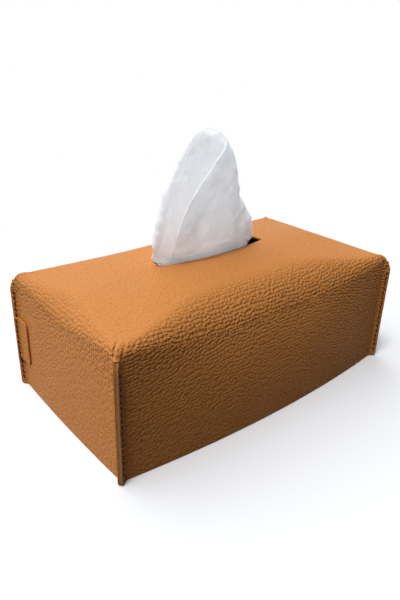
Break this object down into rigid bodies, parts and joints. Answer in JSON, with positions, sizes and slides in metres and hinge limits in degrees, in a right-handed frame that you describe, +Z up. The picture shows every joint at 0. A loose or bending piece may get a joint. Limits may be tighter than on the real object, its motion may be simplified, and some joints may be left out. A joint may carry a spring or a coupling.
{
  "type": "tissue box cover",
  "caption": "Slip-over leather cover with a slot on top and sewn corner seams, standing over a flat carton of tissues with one tissue raised.",
  "frame": {"origin": "middle of the footprint, on the surface that the cover stands on", "axes": "+X along the cover's length to the right, +Y to its back, +Z up"},
  "size_m": [0.2524, 0.147, 0.1849],
  "materials": {
    "pebbled_leather": "satin",
    "lining_suede": "matte",
    "stiffener_board": "matte",
    "waxed_thread": "matte",
    "tab_leather": "satin",
    "carton_board": "satin",
    "clear_film": "gloss",
    "tissue_paper": "matte"
  },
  "bodies": {
    "tissue_box": {"carton": "carton_board", "window_film": "clear_film", "tissue_stack": "tissue_paper"},
    "cover": {"outer_leather": "pebbled_leather", "lining": "lining_suede", "top_board": "stiffener_board", "front_board": "stiffener_board", "back_board": "stiffener_board", "left_board": "stiffener_board", "right_board": "stiffener_board", "seam_thread_front_left": "waxed_thread", "seam_thread_front_right": "waxed_thread", "seam_thread_back_left": "waxed_thread", "seam_thread_back_right": "waxed_thread", "side_tab": "tab_leather"},
    "tissue": {"raised_tissue": "tissue_paper"}
  },
  "joints": [
    {"name": "cover_lift", "type": "slide", "parent": "tissue_box", "child": "cover", "axis": [0, 0, 1], "range_m": [0, 0.11]},
    {"name": "tissue_pull", "type": "slide", "parent": "cover", "child": "tissue", "axis": [0, 0, 1], "range_m": [0, 0.13]}
  ]
}
